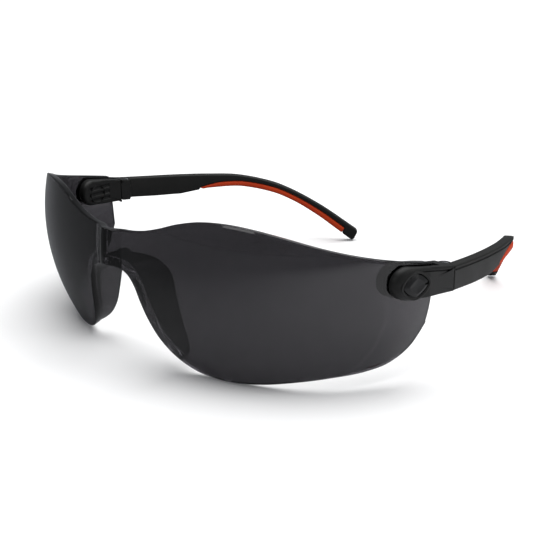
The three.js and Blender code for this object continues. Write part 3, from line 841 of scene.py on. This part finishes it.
def cap_rings():
    """Rings of the press-fit cap: flat back, round edge, grooved face in line with the plate."""
    rings = [ring(circle(r), inner_face(PIVOT_Y) + 0.9) for r in (0, CAP_R - 0.1)]
    for angle in np.radians([0, 30, 60, 90]):
        flat = circle(CAP_R - 0.2 * (1 - math.cos(angle)))
        rings.append(ring(flat, inner_face(flat[:, 0]) + 0.2 * (1 - math.sin(angle))))
    for r in np.linspace(CAP_R - 0.25, 0, 26):
        flat = circle(r)
        rings.append(ring(flat, inner_face(flat[:, 0]) + groove_depth(*flat.T)))
    return np.stack(rings)


pair("inner_plate", [plate_rings()], housing_nylon, "endpiece", ["endpiece_inner"])
pair("pivot_cover", [cap_rings()], housing_nylon, "endpiece", ["pivot_cap"])


# ------------------------------------------------------------ pivot buttons
# Acetal heads of the pivot shafts, a rounded rhombus with facets falling from a dished
# middle, and a short notch that points to the hinge. Snapped through the ratchet disc.
BUTTON_PROUD = 0.5
NOTCH_HALF_WIDTH = 0.35
NOTCH_DEPTH = 0.6


def button_rings():
    """Rings from the back, up the wall and over four facets, to the dished middle."""
    base_x = outer_face(PIVOT_Y) - SEAT_FLOOR + 0.1
    crown_x = outer_face(PIVOT_Y) + BUTTON_PROUD
    base = rhombus(BUTTON_LENGTH - 0.2, BUTTON_HEIGHT - 0.2)
    rings = [ring(circle(0), base_x), ring(base, base_x)]
    levels = [
        (1, -1.2), (1, -0.62), (0.985, -0.5), (0.95, -0.42), (0.9, -0.34), (0.8, -0.2),
        (0.72, -0.08), (0.66, 0), (0.6, -0.03), (0.5, -0.09), (0.38, -0.14), (0.25, -0.18),
        (0.12, -0.2), (0, -0.2),
    ]
    for share, height in levels:
        power = BUTTON_POWER - 0.3 * (1 - share)
        flat = rhombus(BUTTON_LENGTH * share, BUTTON_HEIGHT * share, power)
        along = soft_step((flat[:, 0] - PIVOT_Y - 2.6) / 0.3)
        across = soft_step((NOTCH_HALF_WIDTH - np.abs(flat[:, 1] - PIVOT_Z)) / 0.15)
        tilt = outer_face(flat[:, 0]) - outer_face(PIVOT_Y)
        # Every ring but the hidden foot of the wall takes the notch.
        cut = NOTCH_DEPTH * along * across if height > levels[0][1] else 0
        rings.append(ring(flat, crown_x + height + tilt - cut))
    return np.stack(rings)


button_acetal = moulded(
    "button_acetal", (0.0085, 0.0088, 0.0092), (0.013, 0.0133, 0.014),
    roughness=(0.28, 0.38), grain_scale=5200, relief=0.2)
pair("pivot_head", [button_rings()], button_acetal, "endpiece", ["pivot_button"])


# ------------------------------------------------------------ hinge screws and hidden metal
# A steel screw with a slotted head holds each hinge, in a brass insert. Behind the button
# sit a toothed acetal disc and a steel spring washer. The disc, the washer and the insert
# keep the CAD model's shapes and get their finishes.
SCREW_R = 0.7
HEAD_R = 1.3
HEAD_HEIGHT = 0.7
SLOT_HALF_WIDTH = 0.18
SLOT_DEPTH = 0.32


def screw_rings(steps=96):
    """The screw turned about the hinge's axis: foot, shank, cone, head rim and slotted top."""
    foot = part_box("right_hinge_screw")[0].z / MM
    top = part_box("right_hinge_screw")[1].z / MM
    under = top - HEAD_HEIGHT
    profile = [
        (0, foot), (SCREW_R - 0.15, foot), (SCREW_R, foot + 0.15), (SCREW_R, under - 0.25),
        (HEAD_R - 0.1, under), (HEAD_R, under + 0.12), (HEAD_R, top - 0.15),
        (HEAD_R - 0.12, top - 0.03),
    ]
    profile += [(r, top) for r in np.linspace(HEAD_R - 0.25, 0, 14)]
    r, z = np.array(profile).T
    angle = np.linspace(0, 2 * np.pi, steps, endpoint=False)
    x, y = np.outer(r, np.cos(angle)), np.outer(r, np.sin(angle))
    slot = soft_step((SLOT_HALF_WIDTH - np.abs(y)) / 0.06) * (z[:, None] > top - 0.1)
    return np.stack([HINGE.x + x, HINGE_Y + y, z[:, None] - SLOT_DEPTH * slot], -1)


def metal(name, colour, roughness):
    """Bright metal: its polish varies in blotches, with fine marks from a stretched noise."""
    material, tree, shader = new_material(name, colour, roughness)
    shader.inputs["Metallic"].default_value = 1
    marks = place_group(tree, handling_marks, Smudge_Scale=900, Clean=roughness, Smudged=roughness + 0.2)
    tree.links.new(marks.outputs["Roughness"], shader.inputs["Roughness"])
    bump(tree, marks.outputs["Scratch Height"], 0.1, 0.00005, shader)
    return material


screw_steel = metal("screw_steel", (0.34, 0.35, 0.36), 0.26)
insert_brass = metal("insert_brass", (0.55, 0.38, 0.13), 0.3)
ratchet_acetal = moulded(
    "ratchet_acetal", (0.03, 0.03, 0.032), (0.045, 0.045, 0.047),
    roughness=(0.3, 0.4), grain_scale=4200, relief=0.15)
pair("slotted_screw", [screw_rings()], screw_steel, "endpiece", ["hinge_screw"], sharp=40)
hidden_parts = {
    "ratchet_disc": ratchet_acetal, "spring_washer": screw_steel, "hinge_insert": insert_brass,
}
for side in ("right", "left"):
    for node, finish in hidden_parts.items():
        carried = frame["nodes"][f"{side}_{node}"]
        carried.data.materials.clear()
        carried.data.materials.append(finish)


# ------------------------------------------------------------ temple arms
# Slim nylon arms on the hinge. They run back nearly level, thin down ahead of the ear bend
# and drop to a rounded tip. A shallow line below the outer top edge fades out in the bend.
ARM_EDGE = [
    (74.2, 60.9, 32), (72.4, 72, 31), (69.9, 84, 30), (66.4, 96, 28.9), (61.4, 108, 27.4),
    (53.6, 120, 23.4), (43.6, 132, 15.4), (32.2, 144, 4),
]
ARM_HEIGHT = ((60, 74, 84, 95, 108, 120, 132, 144), (7.1, 7.2, 7, 5.2, 4.2, 3.9, 4.2, 4))
GRIP_HEIGHT = ((91.5, 92, 99, 115, 130, 140.75, 140.85), (0, 0.8, 1.9, 2.1, 2.3, 2.2, 0))
ARM_THICKNESS = 3.2
ARM_END = 144
ARM_TIP = 1.6                   # length of the rounded tip
ARM_TOP_R = 0.6                 # radius of the inner top edge
ARM_FOOT_R = 0.5                # radius of both lower edges
LINE_FADE = (102, 132)          # y between which the line on the outer side runs out
TIP_LEAN = 0.5                  # the sections lean forwards at the tip, square to its slope
TIP_LEAN_FROM = 124
GRIP_START = 92
GRIP_END = 140.6
GRIP_WRAP = 0.75                # the grip climbs this much more on the arm's outer side


def arm_line(steps, start, end):
    """Edge points, outward normals, y and arc length left, in steps that shorten to the end."""
    share = np.linspace(0, 1, 2000)
    edge = smooth_curve(ARM_EDGE, share)
    y = end - (end - start) * np.linspace(1, 0, steps)**1.5
    edge = np.stack([np.interp(y, edge[:, 1], edge[:, 0]), y, np.interp(y, edge[:, 1], edge[:, 2])], -1)
    run = np.gradient(edge, axis=0)
    run /= np.linalg.norm(run, axis=-1, keepdims=True)
    out = np.stack([run[:, 1], -run[:, 0], 0 * y], -1)
    out /= np.linalg.norm(out, axis=-1, keepdims=True)
    travelled = np.concatenate([[0], np.cumsum(np.linalg.norm(np.diff(edge, axis=0), axis=1))])
    return edge, out, y, travelled[-1] - travelled


def hang(edge, out, across, down):
    """Loops below the edge line: `across` inwards and `down`, leaning forwards at the tip."""
    lean = TIP_LEAN * soft_step((edge[:, 1] - TIP_LEAN_FROM) / (ARM_END - TIP_LEAN_FROM))
    forwards = np.stack([out[:, 1], -out[:, 0], 0 * lean], -1)
    drop = forwards * lean[:, None] - (0, 0, 1)
    return edge[:, None] - out[:, None] * across[..., None] + drop[:, None] * down[..., None]


def bar_section(corner, steps=6):
    """Unit square with rounded corners: four quarter circles, as (across, down) from 0 to 1."""
    quarter = np.linspace(0, np.pi / 2, steps)
    points = []
    for k, (a, b) in enumerate([(0, 0), (1, 0), (1, 1), (0, 1)]):
        angle = quarter + np.pi + k * np.pi / 2
        centre = np.array([a + corner * (1 - 2 * a), b + corner * (1 - 2 * b)])
        points.append(centre + corner * np.stack([np.cos(angle), np.sin(angle)], -1))
    return np.concatenate(points)


def grip_wrap(y):
    """How much higher the grip reaches on the arm's outer side than on its inner side."""
    return GRIP_WRAP * soft_step((y - GRIP_START - 1) / 12) * soft_step((GRIP_END - y) / 8)


def arm_grid():
    """The arm's rounded section carried along its edge line, closed by a rounded tip."""
    edge, out, y, left = arm_line(320, SEAM + 0.3, ARM_END)
    full = np.interp(y, *ARM_HEIGHT)
    body = full - np.interp(y, *GRIP_HEIGHT)
    quarter = np.linspace(0, np.pi / 2, 5)

    def corner(a, b, ra, rb, first):
        angle = quarter + first
        return [(a + ra * math.cos(t), b + rb * math.sin(t)) for t in angle]

    # Loops run over the outer top edge, the inner top edge and the two lower edges.
    t, r = ARM_THICKNESS, ARM_FOOT_R
    top = corner(0.7, 0.5, 0.7, 0.5, np.pi)
    top += corner(t - ARM_TOP_R, ARM_TOP_R, ARM_TOP_R, ARM_TOP_R, -np.pi / 2)
    top_across, top_down = np.array(top).T
    foot = corner(t - r, 0, r, r, 0) + corner(r, 0, r, r, np.pi / 2)
    foot_across, foot_down = np.array(foot).T
    # The fine line below the top: a groove cut into the outer wall.
    line_down = np.array([1.5, 1.35, 1.1, 0.9, 0.75])
    line_across = np.array([0, 0.3, 0.36, 0.3, 0])
    level = np.ones((len(y), 1))
    outer_body = (body - grip_wrap(y))[:, None]
    wrapped = body[:, None] - grip_wrap(y)[:, None] * (1 - foot_across / t)
    down = np.concatenate([
        level * top_down,
        wrapped - (r - foot_down),
        np.minimum(line_down, outer_body * 0.75 - (line_down[0] - line_down)),
    ], 1)
    deep = soft_step((LINE_FADE[1] - y) / (LINE_FADE[1] - LINE_FADE[0]))[:, None]
    span = np.concatenate([level * top_across, level * foot_across, line_across * deep], 1)
    loops = hang(edge, out, span, down)
    # Tip: the last stretch shrinks towards its middle as a quarter of a squarish ellipse.
    squeeze = np.cbrt(np.clip(1 - (1 - np.minimum(left / ARM_TIP, 1))**3, 0, 1))[:, None, None]
    centre = hang(edge, out, 0 * y[:, None] + t / 2, body[:, None] / 2)
    loops = centre + (loops - centre) * squeeze
    # Front end: a flat face with a small bevel, just behind the seam.
    front = loops[:1].mean(1, keepdims=True) + 0 * loops[:1]
    bevel = front + (loops[:1] - front) * 0.93
    bevel[..., 1] -= 0.12
    loops[:1, :, 1] += 0.05
    front[..., 1] -= 0.12
    return np.concatenate([front, bevel, loops])


LUG_LOW = HINGE_LOW + KNUCKLE_HEIGHT + KNUCKLE_GAP
LUG_HIGH = HINGE_HIGH - KNUCKLE_HEIGHT - KNUCKLE_GAP
LUG_WIDTH = 1.6


def arm_web():
    """The lug between the arm and its knuckle: a rounded bar along y."""
    section = bar_section(0.12)
    x = HINGE.x + section[:, 0] * LUG_WIDTH
    z = LUG_LOW + section[:, 1] * (LUG_HIGH - LUG_LOW)
    stations = np.array([HINGE_Y + 0.2, HINGE_Y + 3.2])
    walls = np.stack([np.stack([x, np.full(len(x), y), z], -1) for y in stations])
    caps = walls.mean(1, keepdims=True) + 0 * walls
    return np.concatenate([caps[:1], walls, caps[1:]])


arm_nylon = moulded(
    "arm_nylon", (0.0078, 0.0080, 0.0074), (0.0130, 0.0132, 0.0122),
    roughness=(0.42, 0.55), grain_scale=4600, relief=0.4)
arm_knuckle = knuckle(LUG_LOW, LUG_HIGH, SCREW_R + 0.1)
pair("arm_moulding", [arm_grid(), arm_knuckle, arm_web()], arm_nylon,
     "temple", ["temple_arm"])


# ------------------------------------------------------------ soft grips
# Orange thermoplastic rubber moulded along the underside of each arm, from ahead of the ear
# bend almost to the tip. It grips the head, and its skin is matt with a faint grain.
def grip_grid():
    """A rounded strip under the arm, as wide as the arm, whose ends taper away."""
    edge, out, y, left = arm_line(180, GRIP_START, GRIP_END)
    full = np.interp(y, *ARM_HEIGHT)
    high = full - np.interp(y, *GRIP_HEIGHT)
    section = bar_section(0.3, 5)
    travelled = left[0] - left
    ends = np.sqrt(np.clip(np.minimum(travelled / 1.2, 1) * np.minimum((left + 0.05) / 0.2, 1), 0.02, 1))
    across = ARM_THICKNESS * (0.5 + (section[:, 0] - 0.5)[None, :] * (0.9 + 0.1 * ends[:, None]))
    down = high[:, None] + (full - high)[:, None] * section[:, 1] * ends[:, None]
    down = down - grip_wrap(y)[:, None] * (1 - section[:, 0]) * (1 - section[:, 1])
    loops = hang(edge, out, across, down)
    caps = loops[[0, -1]].mean(1, keepdims=True) + 0 * loops[[0, -1]]
    return np.concatenate([caps[:1], loops, caps[1:]])


grip_rubber = moulded(
    "grip_rubber", (0.52, 0.042, 0.008), (0.62, 0.060, 0.011),
    roughness=(0.55, 0.7), grain_scale=3600, relief=0.4)
pair("grip_strip", [grip_grid()], grip_rubber, "temple", ["soft_grip"])
